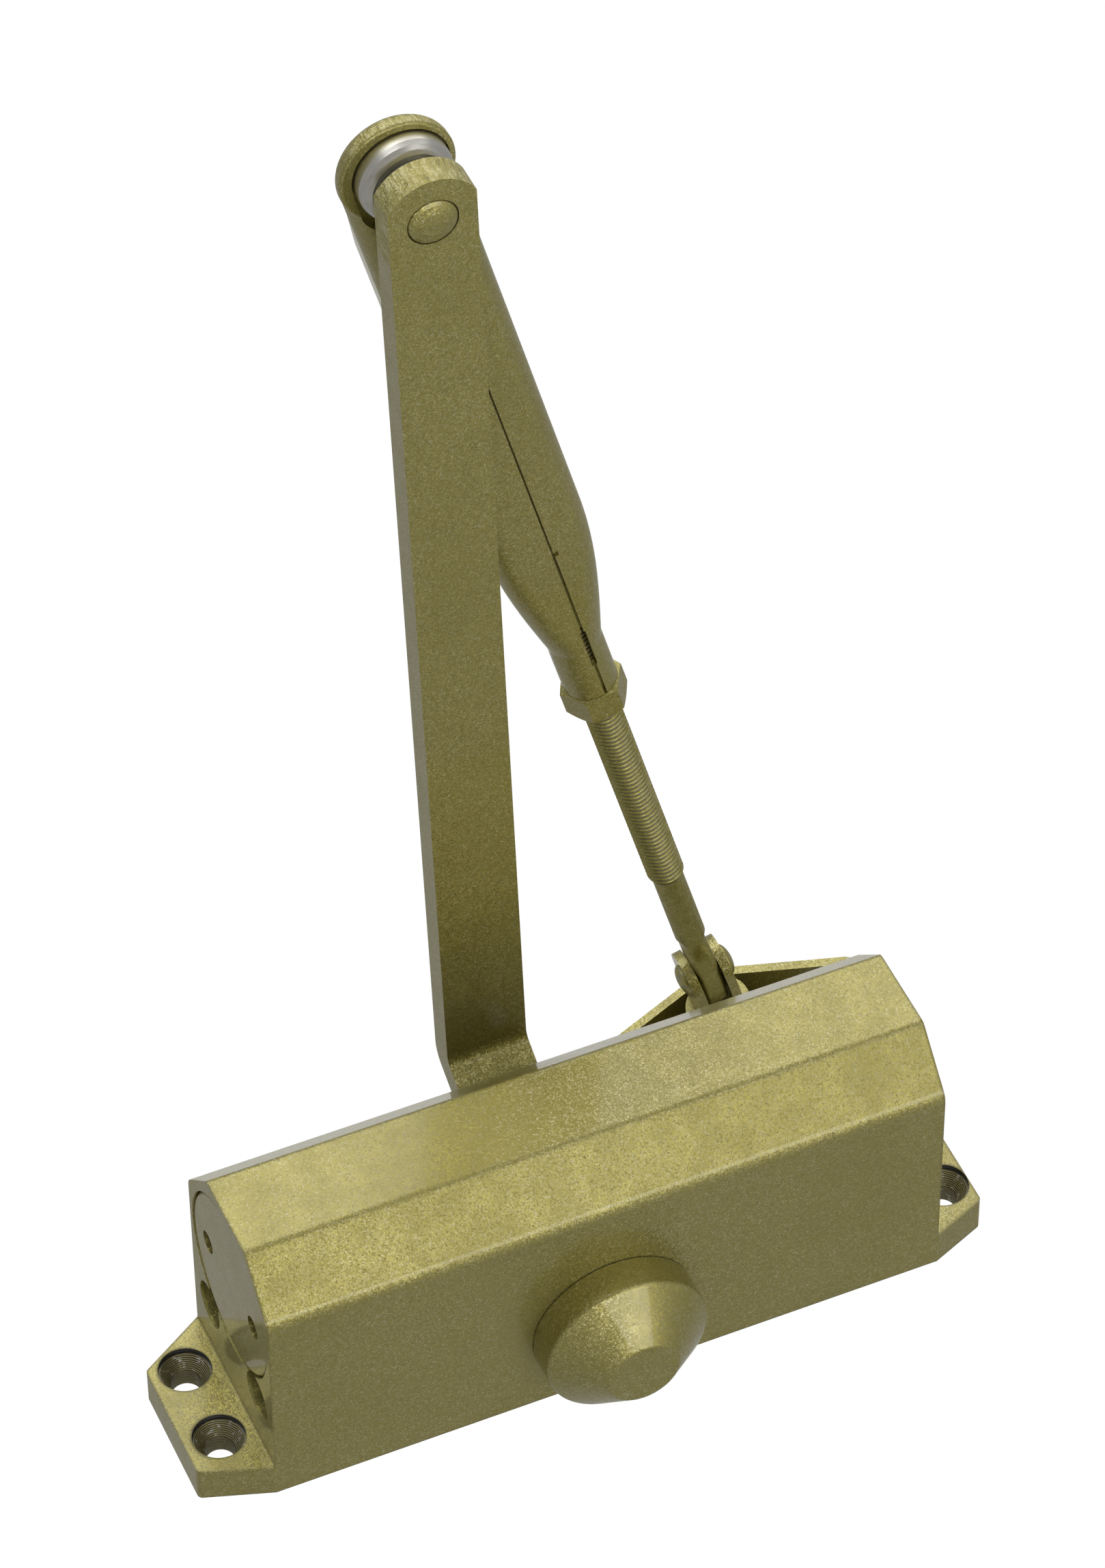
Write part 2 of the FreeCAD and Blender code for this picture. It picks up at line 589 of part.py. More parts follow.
def tube_section(y, half_width, half_height, corner):
    """A closed section at y: a rectangle with round corners."""
    sx, sz = half_width - corner, half_height - corner
    bulge = corner * math.sqrt(0.5)
    corners = [(1, 1), (1, -1), (-1, -1), (-1, 1)]
    edges = []
    for index, (i, k) in enumerate(corners):
        along_z = Vector(i * half_width, y, TUBE_Z + k * sz)
        along_x = Vector(i * sx, y, TUBE_Z + k * half_height)
        middle = Vector(i * (sx + bulge), y, TUBE_Z + k * (sz + bulge))
        start, end = (along_x, along_z) if i == k else (along_z, along_x)
        edges.append(Part.Arc(start, middle, end).toShape())
        i2, k2 = corners[(index + 1) % 4]
        if i2 == i:
            onward = Vector(i * half_width, y, TUBE_Z + k2 * sz)
        else:
            onward = Vector(i2 * sx, y, TUBE_Z + k * half_height)
        edges.append(Part.LineSegment(end, onward).toShape())
    return Part.Wire(edges)


def tube_at(t, inset):
    """The section's half width, half height and corner radius, from the wide end (t = 0) to the round end."""
    ease = 1 - math.cos(math.pi * t / 2)
    half_width = TUBE_WIDE + (TUBE_RADIUS - TUBE_WIDE) * ease - inset
    half_height = TUBE_HIGH + (TUBE_RADIUS - TUBE_HIGH) * ease - inset
    corner = TUBE_CORNER + (TUBE_RADIUS - TUBE_FLAT - TUBE_CORNER) * ease - inset
    return half_width, half_height, corner


def tube_solid(inset, end):
    """The folded tube from the elbow to y = end, drawn in by inset on every side."""
    wires = []
    for step in range(TAPER_STEPS + 1):
        t = step / TAPER_STEPS
        wires.append(tube_section(TAPER_START + (TAPER_END - TAPER_START) * t, *tube_at(t, inset)))
    wide = Part.Face(wires[0]).extrude(Vector(0, -TAPER_START, 0))
    narrow = Part.Face(wires[-1]).extrude(Vector(0, TUBE_END - TAPER_END, 0))
    tube = wide.fuse(Part.makeLoft(wires, True, False)).fuse(narrow)
    return tube.common(block((-50, TUBE_START, 0), (50, end, 100)))


def ramp_above(drop):
    """Everything above the pan's back and the slope that climbs from it to the back of the tube."""
    top = TUBE_Z + TUBE_HIGH + 5
    slope = (TUBE_HIGH + TUBE_Z - PAN_BACK_Z) / (RAMP_END - RAMP_START)
    level = PAN_BACK_Z - drop
    climb_end = RAMP_START + (top - level) / slope
    outline = [(-30, -30, level), (-30, RAMP_START, level), (-30, climb_end, top), (-30, -30, top)]
    return prism(outline, Vector(60, 0, 0))


def mouth_slot():
    """The open end of the tube, in front of the pan."""
    slot = block((-MOUTH_HALF_WIDTH, 0, PAN_MOUTH_Z - 2), (MOUTH_HALF_WIDTH, MOUTH_END, PAN_FLOOR_Z))

    def far_corner(edge):
        return runs_along(edge, Z_AXIS) and edge.Vertexes[0].Y > MOUTH_END - 0.1

    return round_edges(slot, 5.0, far_corner)


def make_forearm():
    pan = rod(PAN_RADIUS, (PAN_CENTRE, 0, PAN_MOUTH_Z), Z_AXIS, PAN_BACK_Z - PAN_MOUTH_Z)

    def back_edge(edge):
        return edge.Curve.TypeId == "Part::GeomCircle" and edge.BoundBox.ZMin > PAN_FLOOR_Z

    def mouth_edge(edge):
        return edge.Curve.TypeId == "Part::GeomCircle" and edge.BoundBox.ZMax < PAN_MOUTH_Z + 1

    pan = round_edges(pan, 2.6, back_edge)
    pan = round_edges(pan, 0.7, mouth_edge)
    arm = tube_solid(0, TUBE_END).cut(ramp_above(0)).fuse(pan)
    arm = arm.cut(tube_solid(SHEET, HOLLOW_END).cut(ramp_above(SHEET)))
    dish_depth = PAN_FLOOR_Z - PAN_MOUTH_Z
    arm = arm.cut(rod(PAN_MOUTH_RADIUS, (TUBE_OFFSET, 0, PAN_MOUTH_Z - 2), Z_AXIS, dish_depth + 2))
    arm = arm.cut(mouth_slot())
    arm = arm.cut(rod(RIVET_RADIUS + FIT, (TUBE_OFFSET, 0, 40), Z_AXIS, 40))
    arm = arm.cut(rod(THREAD_RADIUS + FIT, (0, 110, TUBE_Z), Y_AXIS, 80))
    bottom = TUBE_Z - 8
    seams = [(SEAM_START, SEAM_NOTCH, 0.2, 1.0), (SEAM_NOTCH, SLIT_START, 0.28, 1.3),
             (SLIT_START, SLIT_END, 0.6, 4.0), (SLIT_END, TUBE_END, 0.3, 1.6)]
    for start, end, half, depth in seams:
        slit = block((SEAM_X - half, start, bottom), (SEAM_X + half, end + 0.5, TUBE_Z - TUBE_RADIUS + depth))
        arm = arm.cut(slit)
    notch = block((SEAM_X, SEAM_NOTCH - 1.2, bottom), (SEAM_X + 1.1, SEAM_NOTCH, TUBE_Z - TUBE_HIGH + 0.9))
    arm = arm.cut(notch)
    arm = max(arm.Solids, key=lambda s: s.Volume)
    arm.Placement = forearm_place()
    return arm


def make_spacer():
    top = PAN_FLOOR_Z - 0.05
    profile = [(RIVET_RADIUS + FIT, SPACER_BOTTOM), (7.6, SPACER_BOTTOM), (8.5, SPACER_BOTTOM + 0.5),
               (9.1, SPACER_BOTTOM + 1.3), (SPACER_RADIUS, SPACER_BOTTOM + 2.4), (SPACER_RADIUS, top),
               (RIVET_RADIUS + FIT, top)]
    point = elbow_point()
    spacer = turned(profile, (point.x, point.y, 0), Z_AXIS)
    return spacer


def make_elbow_washer():
    bottom = ARM_BAR_Z + ARM_THICKNESS
    point = elbow_point()
    return ring(6.6, RIVET_RADIUS + FIT, (point.x, point.y, bottom), Z_AXIS, SPACER_BOTTOM - 0.06 - bottom)


def make_lock_nut():
    bore = rod(THREAD_RADIUS + FIT + 0.01, (0, 0, -1), Z_AXIS, NUT_HEIGHT + 2)
    nut = hexagon(NUT_FLATS, NUT_HEIGHT).cut(bore)
    nut.Placement = Placement(Vector(0, TUBE_END + 0.1, TUBE_Z), Rotation(X_AXIS, -90))
    nut.Placement = forearm_place().multiply(nut.Placement)
    return nut


def thread_profile():
    """Radius and distance points of the rod, with the M8 thread drawn as a row of ridges."""
    root = THREAD_RADIUS - THREAD_DEPTH
    points = [(0, THREAD_START), (root, THREAD_START)]
    turns = int((THREAD_END - THREAD_START - 1) / THREAD_PITCH)
    for index in range(turns):
        y = THREAD_START + 0.4 + index * THREAD_PITCH
        points += [(root, y + 0.1), (THREAD_RADIUS, y + 0.55), (THREAD_RADIUS, y + 0.7), (root, y + 1.15)]
    return points + [(root, THREAD_END), (SHANK_RADIUS, THREAD_END + 0.2), (SHANK_RADIUS, SHANK_END + 3),
                     (0, SHANK_END + 3)]


def make_adjuster_rod():
    shaft = turned(thread_profile(), (0, 0, 0), Y_AXIS)
    shaft.Placement = Placement(Vector(0, 0, TUBE_Z), Rotation(Z_AXIS, Y_AXIS))
    half = EYE_THICKNESS / 2
    end_centre = PIN_DISTANCE + EYE_OVERRUN - EYE_HALF_WIDTH
    flat = block((-half, SHANK_END + 3, TUBE_Z - EYE_HALF_WIDTH), (half, end_centre, TUBE_Z + EYE_HALF_WIDTH))
    flat = flat.fuse(rod(EYE_HALF_WIDTH, (-half, end_centre, TUBE_Z), X_AXIS, EYE_THICKNESS))
    neck_start = Part.Wire(Part.makeCircle(SHANK_RADIUS, Vector(0, SHANK_END, TUBE_Z), Y_AXIS))
    tall = EYE_HALF_WIDTH
    corners = [(half, 0), (half, tall), (-half, tall), (-half, -tall), (half, -tall), (half, 0)]
    flat_start = Part.makePolygon([Vector(x, SHANK_END + 6, TUBE_Z + z) for x, z in corners])
    neck = Part.makeLoft([neck_start, flat_start], True, True)
    eye = shaft.fuse(neck).fuse(flat)
    eye = eye.cut(rod(PIN_RADIUS + FIT, (-10, PIN_DISTANCE, TUBE_Z), X_AXIS, 20))
    eye.Placement = forearm_place().multiply(eye.Placement)
    return eye


def make_fork():
    """A strap bent to a U: two ears with round ends, joined by a flat base."""
    outer = FORK_GAP / 2 + FORK_SHEET
    base_top = PIN_DISTANCE + FORK_BASE + FORK_SHEET
    low, high = TUBE_Z - FORK_EAR_RADIUS, TUBE_Z + FORK_EAR_RADIUS
    cheek = block((-outer, PIN_DISTANCE, low), (outer, base_top, high))

    def base_bend(edge):
        return runs_along(edge, Z_AXIS) and edge.Vertexes[0].Y > base_top - 0.01

    cheek = round_edges(cheek, 1.9, base_bend)
    cheek = cheek.fuse(rod(FORK_EAR_RADIUS, (-outer, PIN_DISTANCE, TUBE_Z), X_AXIS, 2 * outer))
    gap = block((-FORK_GAP / 2, PIN_DISTANCE - 20, low - 1), (FORK_GAP / 2, base_top - FORK_SHEET, high + 1))
    fork = cheek.cut(gap)
    fork = fork.cut(rod(PIN_RADIUS + 0.02, (-20, PIN_DISTANCE, TUBE_Z), X_AXIS, 40))
    fork = fork.cut(rod(SWIVEL_RADIUS + 0.02, (0, PIN_DISTANCE, TUBE_Z), Y_AXIS, 20))
    fork.Placement = forearm_place()
    return fork


def dome(radius, height):
    """Points of a domed rivet head, from its rim to its top."""
    steps = 6
    points = []
    for index in range(steps + 1):
        angle = math.pi / 2 * index / steps
        points.append((radius * math.cos(angle), height * math.sin(angle)))
    return points


def make_fork_pin():
    outer = FORK_GAP / 2 + FORK_SHEET + 0.02
    right = [(r, outer + h) for r, h in dome(3.6, 1.6)]
    left = [(r, -h) for r, h in reversed(right)]
    pin = turned(left + [(PIN_RADIUS, -outer), (PIN_RADIUS, outer)] + right, (0, 0, 0), Z_AXIS)
    pin.Placement = Placement(Vector(0, PIN_DISTANCE, TUBE_Z), Rotation(Z_AXIS, X_AXIS))
    pin.Placement = forearm_place().multiply(pin.Placement)
    return pin


def shoe_outline(inset):
    """Boat outline: a middle circle joined to two small tip circles by straight sides."""
    big, small, reach = SHOE_RADIUS - inset, SHOE_TIP_RADIUS - inset, SHOE_TIP_OFFSET
    lean = math.asin((big - small) / reach)
    sx, sz = math.sin(lean), math.cos(lean)
    top_big, low_big = Vector(big * sx, 0, big * sz), Vector(big * sx, 0, -big * sz)
    top_tip, low_tip = Vector(reach + small * sx, 0, small * sz), Vector(reach + small * sx, 0, -small * sz)
    end = Vector(reach + small, 0, 0)

    def mirrored(v):
        return Vector(-v.x, v.y, v.z)

    edges = [Part.Arc(mirrored(top_big), Vector(0, 0, big), top_big), Part.LineSegment(top_big, top_tip),
             Part.Arc(top_tip, end, low_tip), Part.LineSegment(low_tip, low_big),
             Part.Arc(low_big, Vector(0, 0, -big), mirrored(low_big)),
             Part.LineSegment(mirrored(low_big), mirrored(low_tip)),
             Part.Arc(mirrored(low_tip), mirrored(end), mirrored(top_tip)),
             Part.LineSegment(mirrored(top_tip), mirrored(top_big))]
    return Part.Wire([e.toShape() for e in edges])


def make_shoe():
    depth = SHOE_FLOOR + SHOE_SHEET - SHOE_RIM
    outside = Part.Face(shoe_outline(0)).extrude(Vector(0, depth, 0))

    def floor_rim(edge):
        return edge.BoundBox.YMin > depth - 0.01

    outside = round_edges(outside, 1.6, floor_rim)
    inside = Part.Face(shoe_outline(SHOE_SHEET)).extrude(Vector(0, depth - SHOE_SHEET, 0))
    shoe = outside.cut(inside)
    shoe.translate(Vector(0, SHOE_RIM, 0))
    height = SHOE_FLOOR + SHOE_SHEET - BOSS_TOP
    boss = Part.makeCone(BOSS_TOP_RADIUS, BOSS_FOOT_RADIUS, height - 0.01, Vector(0, BOSS_TOP, 0), Y_AXIS)
    hollow = Part.makeCone(BOSS_TOP_RADIUS - 1.9, BOSS_FOOT_RADIUS - 2.1, height - SHOE_SHEET + 0.1,
                           Vector(0, BOSS_TOP + SHOE_SHEET, 0), Y_AXIS)
    shoe = shoe.fuse(boss).cut(hollow)
    shoe = shoe.cut(rod(SWIVEL_RADIUS + 0.06, (0, BOSS_TOP - 1, 0), Y_AXIS, 10))
    for side in (-1, 1):
        x = side * SHOE_HOLE_OFFSET
        shoe = shoe.cut(rod(SHOE_HOLE_RADIUS, (x, SHOE_FLOOR - 1, 0), Y_AXIS, 10))
    shoe.Placement = shoe_place()
    return shoe


def shoe_place():
    local = Placement(Vector(0, PIN_DISTANCE, TUBE_Z), Rotation(Y_AXIS, SHOE_TURN))
    return forearm_place().multiply(local)


def make_swivel_washer():
    inner_face = BOSS_TOP + SHOE_SHEET
    washer = ring(4.9, SWIVEL_RADIUS + 0.02, (0, inner_face + 0.06, 0), Y_AXIS, 0.9)
    washer.Placement = shoe_place()
    return washer


def make_swivel_rivet():
    start = FORK_BASE
    under = BOSS_TOP + SHOE_SHEET + 1.0
    head = [(r, under + h) for r, h in dome(4.3, 2.2)]
    rivet = turned([(0, start), (SWIVEL_RADIUS, start), (SWIVEL_RADIUS, under)] + head, (0, 0, 0), Z_AXIS)
    rivet.Placement = Placement(Vector(0, PIN_DISTANCE, TUBE_Z), Rotation(Z_AXIS, Y_AXIS))
    rivet.Placement = forearm_place().multiply(rivet.Placement)
    return rivet


def main():
    os.makedirs("parts", exist_ok=True)
    save("closer_body", make_body())
    valve_plug, valve_groove = make_plug(BODY_LEFT, X_AXIS)
    spring_plug, spring_groove = make_plug(BODY_RIGHT, -X_AXIS)
    save("valve_end_plug", valve_plug)
    save("spring_end_plug", spring_plug)
    ring_radius = PLUG_NOSE_RADIUS - 0.75
    seals = [o_ring(ring_radius, 0.8, (x, BORE_Y, 0), X_AXIS) for x in (valve_groove, spring_groove)]
    save("plug_seals", Part.makeCompound(seals))
    save("closing_valve", make_valve(-1))
    save("latching_valve", make_valve(1))
    seal_x = BODY_LEFT + 3.0 + 9.1
    valve_rings = [o_ring(2.95, 0.6, (seal_x, VALVE_Y, side * VALVE_OFFSET), X_AXIS) for side in (-1, 1)]
    save("valve_seals", Part.makeCompound(valve_rings))
    save("pinion_shaft", make_pinion())
    save("lower_bush", ring(CAP_SOCKET_RADIUS - 0.02, LOWER_JOURNAL_RADIUS + FIT,
                            (PINION_X, PINION_Y, CAP_SOCKET_FLOOR + 0.1), Z_AXIS, 5.7))
    save("upper_bush", ring(BUSH_RADIUS - 0.02, UPPER_JOURNAL_RADIUS + FIT, (PINION_X, PINION_Y, BUSH_BOTTOM),
                            Z_AXIS, BUSH_TOP - BUSH_BOTTOM))
    save("shaft_seal", make_seal())
    save("seal_retainer", make_seal_retainer())
    save("bearing_cap", make_bearing_cap())
    seal_z = (CAP_GROOVE_LOW + CAP_GROOVE_HIGH) / 2
    save("bearing_cap_seal", o_ring(OPENING_RADIUS - 0.85, 0.72, (PINION_X, PINION_Y, seal_z), Z_AXIS))
    save("spindle_cap", make_spindle_cap())
    save("piston", make_piston())
    save("check_ball", make_ball())
    save("check_retainer", make_check_retainer())
    save("closing_spring", make_spring())
    save("spring_seat", make_spring_seat())
    save("main_arm", make_main_arm())
    washer_bottom = ARM_SEAT_Z + ARM_THICKNESS
    save("arm_washer", ring(6.0, 2.7, (PINION_X, PINION_Y, washer_bottom), Z_AXIS, 1.6))
    save("arm_screw", make_arm_screw())
    save("elbow_rivet", make_elbow_rivet())
    save("elbow_washer", make_elbow_washer())
    save("elbow_spacer", make_spacer())
    save("forearm", make_forearm())
    save("lock_nut", make_lock_nut())
    save("adjuster_rod", make_adjuster_rod())
    save("fork", make_fork())
    save("fork_pin", make_fork_pin())
    save("swivel_rivet", make_swivel_rivet())
    save("swivel_washer", make_swivel_washer())
    save("shoe", make_shoe())


main()
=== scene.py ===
import json
import math

import bmesh
import bpy
from mathutils import Matrix, Vector


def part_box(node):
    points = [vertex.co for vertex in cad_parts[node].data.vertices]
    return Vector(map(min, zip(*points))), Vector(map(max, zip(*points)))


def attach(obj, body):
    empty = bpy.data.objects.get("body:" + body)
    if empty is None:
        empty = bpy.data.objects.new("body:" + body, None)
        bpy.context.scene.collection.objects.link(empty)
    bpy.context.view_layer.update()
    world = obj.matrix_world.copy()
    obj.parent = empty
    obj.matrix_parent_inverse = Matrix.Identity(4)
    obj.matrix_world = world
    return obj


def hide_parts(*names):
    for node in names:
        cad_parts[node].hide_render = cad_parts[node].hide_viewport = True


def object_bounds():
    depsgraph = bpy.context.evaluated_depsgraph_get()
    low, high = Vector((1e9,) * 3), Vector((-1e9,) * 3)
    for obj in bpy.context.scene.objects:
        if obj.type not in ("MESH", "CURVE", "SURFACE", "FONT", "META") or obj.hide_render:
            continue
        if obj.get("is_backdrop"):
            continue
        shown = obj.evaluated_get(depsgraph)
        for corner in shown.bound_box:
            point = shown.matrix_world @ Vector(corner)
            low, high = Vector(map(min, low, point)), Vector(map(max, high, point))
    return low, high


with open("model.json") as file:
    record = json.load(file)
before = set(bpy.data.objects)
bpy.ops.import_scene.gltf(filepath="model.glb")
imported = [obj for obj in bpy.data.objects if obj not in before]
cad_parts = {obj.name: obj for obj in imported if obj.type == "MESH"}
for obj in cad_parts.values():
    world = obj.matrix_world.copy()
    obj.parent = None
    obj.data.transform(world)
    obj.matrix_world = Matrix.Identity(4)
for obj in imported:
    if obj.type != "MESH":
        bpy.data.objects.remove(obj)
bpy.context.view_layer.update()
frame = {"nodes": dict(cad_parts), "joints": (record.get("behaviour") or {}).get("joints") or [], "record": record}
nodes = frame["nodes"]
record = frame["record"]
MM = 0.001

# ---- camera: angles are azimuth, elevation and roll in degrees, the target is in millimetres ----
CAMERA_ANGLES = (-20.24, -38.82, 31.0)
CAMERA_TARGET = (28.7, -72.6, 72.3)
CAMERA_DISTANCE = 1.4359
CAMERA_LENS = 160.57
SENSOR_WIDTH = 36.0
CLIP_START = 0.05
CLIP_END = 50.0

# ---- softboxes, in watts, and the strength of the surroundings ----
KEY_POWER = 11.5
LEFT_POWER = 4.5
FRONT_POWER = 2.6
LOW_POWER = 2.8
KEY_TINT = (1.0, 0.99, 0.97)
FRONT_TINT = (1.0, 0.99, 0.98)
WHITE = (1.0, 1.0, 1.0)
STUDIO_DIM = 0.40
STUDIO_FULL = 1.0
BACKDROP_EDGE = 0.972
BACKDROP_CORE = 0.988

# ---- floor, as multiples of the closer's diagonal ----
FLOOR_DROP = 3.0
FLOOR_SIZE = 30

# ---- colours, linear ----
GOLD_DEEP = (0.275, 0.240, 0.058, 1.0)
GOLD = (0.400, 0.360, 0.132, 1.0)
GOLD_PALE = (0.56, 0.52, 0.28, 1.0)
FLAKE_SILVER = (0.86, 0.84, 0.68, 1.0)
BARE_STEEL = (0.62, 0.61, 0.57, 1.0)
DULL_STEEL = (0.30, 0.29, 0.25, 1.0)
DARK_STEEL = (0.10, 0.10, 0.10, 1.0)
TURNED_DARK = (0.15, 0.135, 0.06, 1.0)
TURNED_LIGHT = (0.38, 0.35, 0.21, 1.0)
BRONZE = (0.55, 0.36, 0.14, 1.0)
BLACK_RUBBER = (0.012, 0.012, 0.012, 1.0)
RUBBER_DUST = (0.05, 0.05, 0.048, 1.0)
FLOOR_DARK = (0.80, 0.79, 0.75, 1.0)
FLOOR_LIGHT = (0.84, 0.83, 0.79, 1.0)

# ---- paint ----
FLAKE_SCALE = 3900.0
FLAKE_TILT = 0.36
PAINT_METALLIC = 0.82
COAT = 0.5
COAT_ROUGH = 0.09
PEEL_SCALE = 520.0
PEEL_DEPTH = 0.00002
PEEL_STRENGTH = 0.35

# ---- countersinks and sheared ends, in millimetres ----
SINK_RADIUS = 5.75
SINK_RIM_INNER = 5.65
SINK_RIM_OUTER = 5.95
SINK_TOP = -8.36
BODY_EDGE_ROUND = 1.0
SHEARED_RADIUS = 0.0125
HALF_ARM = 0.0033

# ---- scratches: the finer axis crosses the turning marks ----
EVEN = (300.0, 300.0, 300.0)
ROUND_Z = (60.0, 60.0, 500.0)
ROUND_X = (500.0, 60.0, 60.0)
COILED_X = (400.0, 80.0, 80.0)
DRUM_STREAK = (30.0, 30.0, 500.0)


class Shader:
    """Small helper that builds a node material round one Principled shader."""

    def __init__(self, name):
        self.material = bpy.data.materials.new(name)
        self.material.use_nodes = True
        self.tree = self.material.node_tree
        self.tree.nodes.clear()
        self.output = self.tree.nodes.new("ShaderNodeOutputMaterial")
        self.surface = self.tree.nodes.new("ShaderNodeBsdfPrincipled")
        self.tree.links.new(self.surface.outputs["BSDF"], self.output.inputs["Surface"])
        self.coords = self.tree.nodes.new("ShaderNodeTexCoord")
        self.geometry = self.tree.nodes.new("ShaderNodeNewGeometry")

    def put(self, socket, value):
        if isinstance(value, bpy.types.NodeSocket):
            self.tree.links.new(value, socket)
        else:
            socket.default_value = value

    def node(self, kind, values=None, **settings):
        made = self.tree.nodes.new(kind)
        for key, value in settings.items():
            setattr(made, key, value)
        for key, value in (values or {}).items():
            self.put(made.inputs[key], value)
        return made

    def math(self, operation, a, b=0.0, c=0.0):
        return self.node("ShaderNodeMath", {0: a, 1: b, 2: c}, operation=operation).outputs[0]

    def product(self, a, b):
        return self.math("MULTIPLY", a, b)

    def vector(self, operation, a, b=(0.0, 0.0, 0.0), scale=1.0):
        made = self.node("ShaderNodeVectorMath", {0: a, 1: b, 3: scale}, operation=operation)
        gives_number = operation in ("LENGTH", "DISTANCE", "DOT_PRODUCT")
        return made.outputs["Value" if gives_number else "Vector"]

    def ramp(self, value, low, high, to_low=0.0, to_high=1.0):
        made = self.node("ShaderNodeMapRange", {"Value": value, "From Min": low, "From Max": high,
                                                "To Min": to_low, "To Max": to_high})
        made.interpolation_type = "SMOOTHSTEP"
        return made.outputs["Result"]

    def blend(self, factor, a, b):
        return self.node("ShaderNodeMix", {0: factor, 6: a, 7: b}, data_type="RGBA").outputs[2]

    def blend_vectors(self, factor, a, b):
        return self.node("ShaderNodeMix", {0: factor, 4: a, 5: b}, data_type="VECTOR").outputs[1]

    def noise(self, scale, detail=3.0, roughness=0.5, vector=None):
        values = {"Scale": scale, "Detail": detail, "Roughness": roughness,
                  "Vector": vector or self.position()}
        return self.node("ShaderNodeTexNoise", values).outputs["Fac"]

    def cells(self, scale):
        return self.node("ShaderNodeTexVoronoi", {"Scale": scale, "Vector": self.position()}).outputs["Color"]

    def bump(self, height, distance, strength=1.0, normal=None):
        made = self.node("ShaderNodeBump", {"Height": height, "Distance": distance, "Strength": strength})
        if normal is not None:
            self.put(made.inputs["Normal"], normal)
        return made.outputs["Normal"]

    def set(self, **values):
        for key, value in values.items():
            self.put(self.surface.inputs[key.replace("_", " ")], value)
        return self.material

    def position(self):
        return self.coords.outputs["Object"]

    def split(self, vector):
        return self.node("ShaderNodeSeparateXYZ", {0: vector}).outputs


def centre_of(node):
    low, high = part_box(node)
    return (Vector(low) + Vector(high)) / 2


def joint(name):
    return next(j for j in frame["joints"] if j["name"] == name)


# ---- paints ----
def paint_layers(s, tilt=FLAKE_TILT, rounding=0.0):
    """Metallic paint of tilted flakes with slow drifts of tone. Returns its colour, roughness and normal."""
    cell = s.cells(FLAKE_SCALE)
    offset = s.vector("SUBTRACT", cell, (0.5, 0.5, 0.5))
    offset = s.vector("SCALE", offset, scale=tilt)
    surface = s.geometry.outputs["Normal"]
    if rounding:
        surface = s.node("ShaderNodeBevel", {"Radius": rounding}, samples=6).outputs["Normal"]
    normal = s.vector("NORMALIZE", s.vector("ADD", surface, offset))
    flake_tone = s.split(cell)[0]
    drift = s.noise(38.0, 4.0)
    tone = s.blend(s.ramp(flake_tone, 0.0, 1.0, 0.15, 0.85), GOLD_DEEP, GOLD)
    tone = s.blend(s.ramp(flake_tone, 0.80, 1.0, 0.0, 0.24), tone, FLAKE_SILVER)
    tone = s.blend(s.ramp(drift, 0.35, 0.7, 0.0, 0.25), tone, GOLD_DEEP)
    rough = s.ramp(s.noise(160.0, 3.0), 0.3, 0.7, 0.40, 0.50)
    return tone, rough, normal


def painted(s, tone, rough, normal, coat=COAT, coat_rough=COAT_ROUGH):
    """Finish a paint with its clear coat, which has a slight orange peel."""
    peel = s.bump(s.noise(PEEL_SCALE, 2.0), PEEL_DEPTH, PEEL_STRENGTH)
    return s.set(Base_Color=tone, Metallic=PAINT_METALLIC, Roughness=rough, Normal=normal,
                 Coat_Weight=coat, Coat_Roughness=coat_rough, Coat_Normal=peel)


def coat_outside(s, mask):
    """The usual weight of the clear coat where mask is 0, and none where it is 1."""
    return s.product(s.math("SUBTRACT", 1.0, mask), COAT)


def paint(name, tilt=FLAKE_TILT, coat=COAT, coat_rough=COAT_ROUGH):
    s = Shader(name)
    tone, rough, normal = paint_layers(s, tilt)
    return painted(s, tone, rough, normal, coat, coat_rough)


def body_paint():
    """The body's paint, with turned metal in the countersinks and a dark ragged line at their rims."""
    s = Shader("body_paint")
    tone, rough, normal = paint_layers(s, rounding=BODY_EDGE_ROUND * MM)
    pattern = next(m for m in record["mounts"] if m["name"] == "body_fixing_holes")
    half_x = pattern["dims"]["spacing_x_mm"] / 2 * MM
    half_z = pattern["dims"]["spacing_y_mm"] / 2 * MM
    x, y, z = s.split(s.position())
    dx = s.math("SUBTRACT", s.math("ABSOLUTE", x), half_x)
    dz = s.math("SUBTRACT", s.math("ABSOLUTE", z), half_z)
    reach = s.math("SQRT", s.math("ADD", s.product(dx, dx), s.product(dz, dz)))
    ragged = s.math("MULTIPLY_ADD", s.noise(900.0, 4.0), 0.0011, reach)
    inside = s.math("LESS_THAN", reach, SINK_RADIUS * MM)
    cut = s.product(inside, s.math("GREATER_THAN", y, SINK_TOP * MM))
    rings = s.node("ShaderNodeTexWave", {"Scale": 820.0, "Distortion": 1.6, "Detail": 3.0,
                                         "Vector": s.position()}, wave_type="BANDS", bands_direction="Y")
    ring = rings.outputs["Fac"]
    ring_tone = s.blend(s.ramp(ring, 0.35, 0.8), TURNED_DARK, TURNED_LIGHT)
    glint = s.ramp(s.noise(700.0, 5.0, 0.7), 0.56, 0.64)
    ring_tone = s.blend(glint, ring_tone, BARE_STEEL)
    edge = s.product(s.ramp(ragged, SINK_RIM_INNER * MM, SINK_RIM_OUTER * MM), inside)
    ring_tone = s.blend(edge, ring_tone, DARK_STEEL)
    turned = s.blend_vectors(cut, normal, s.bump(ring, 0.00012, 0.8))
    return painted(s, s.blend(cut, tone, ring_tone), rough, turned, coat_outside(s, cut))


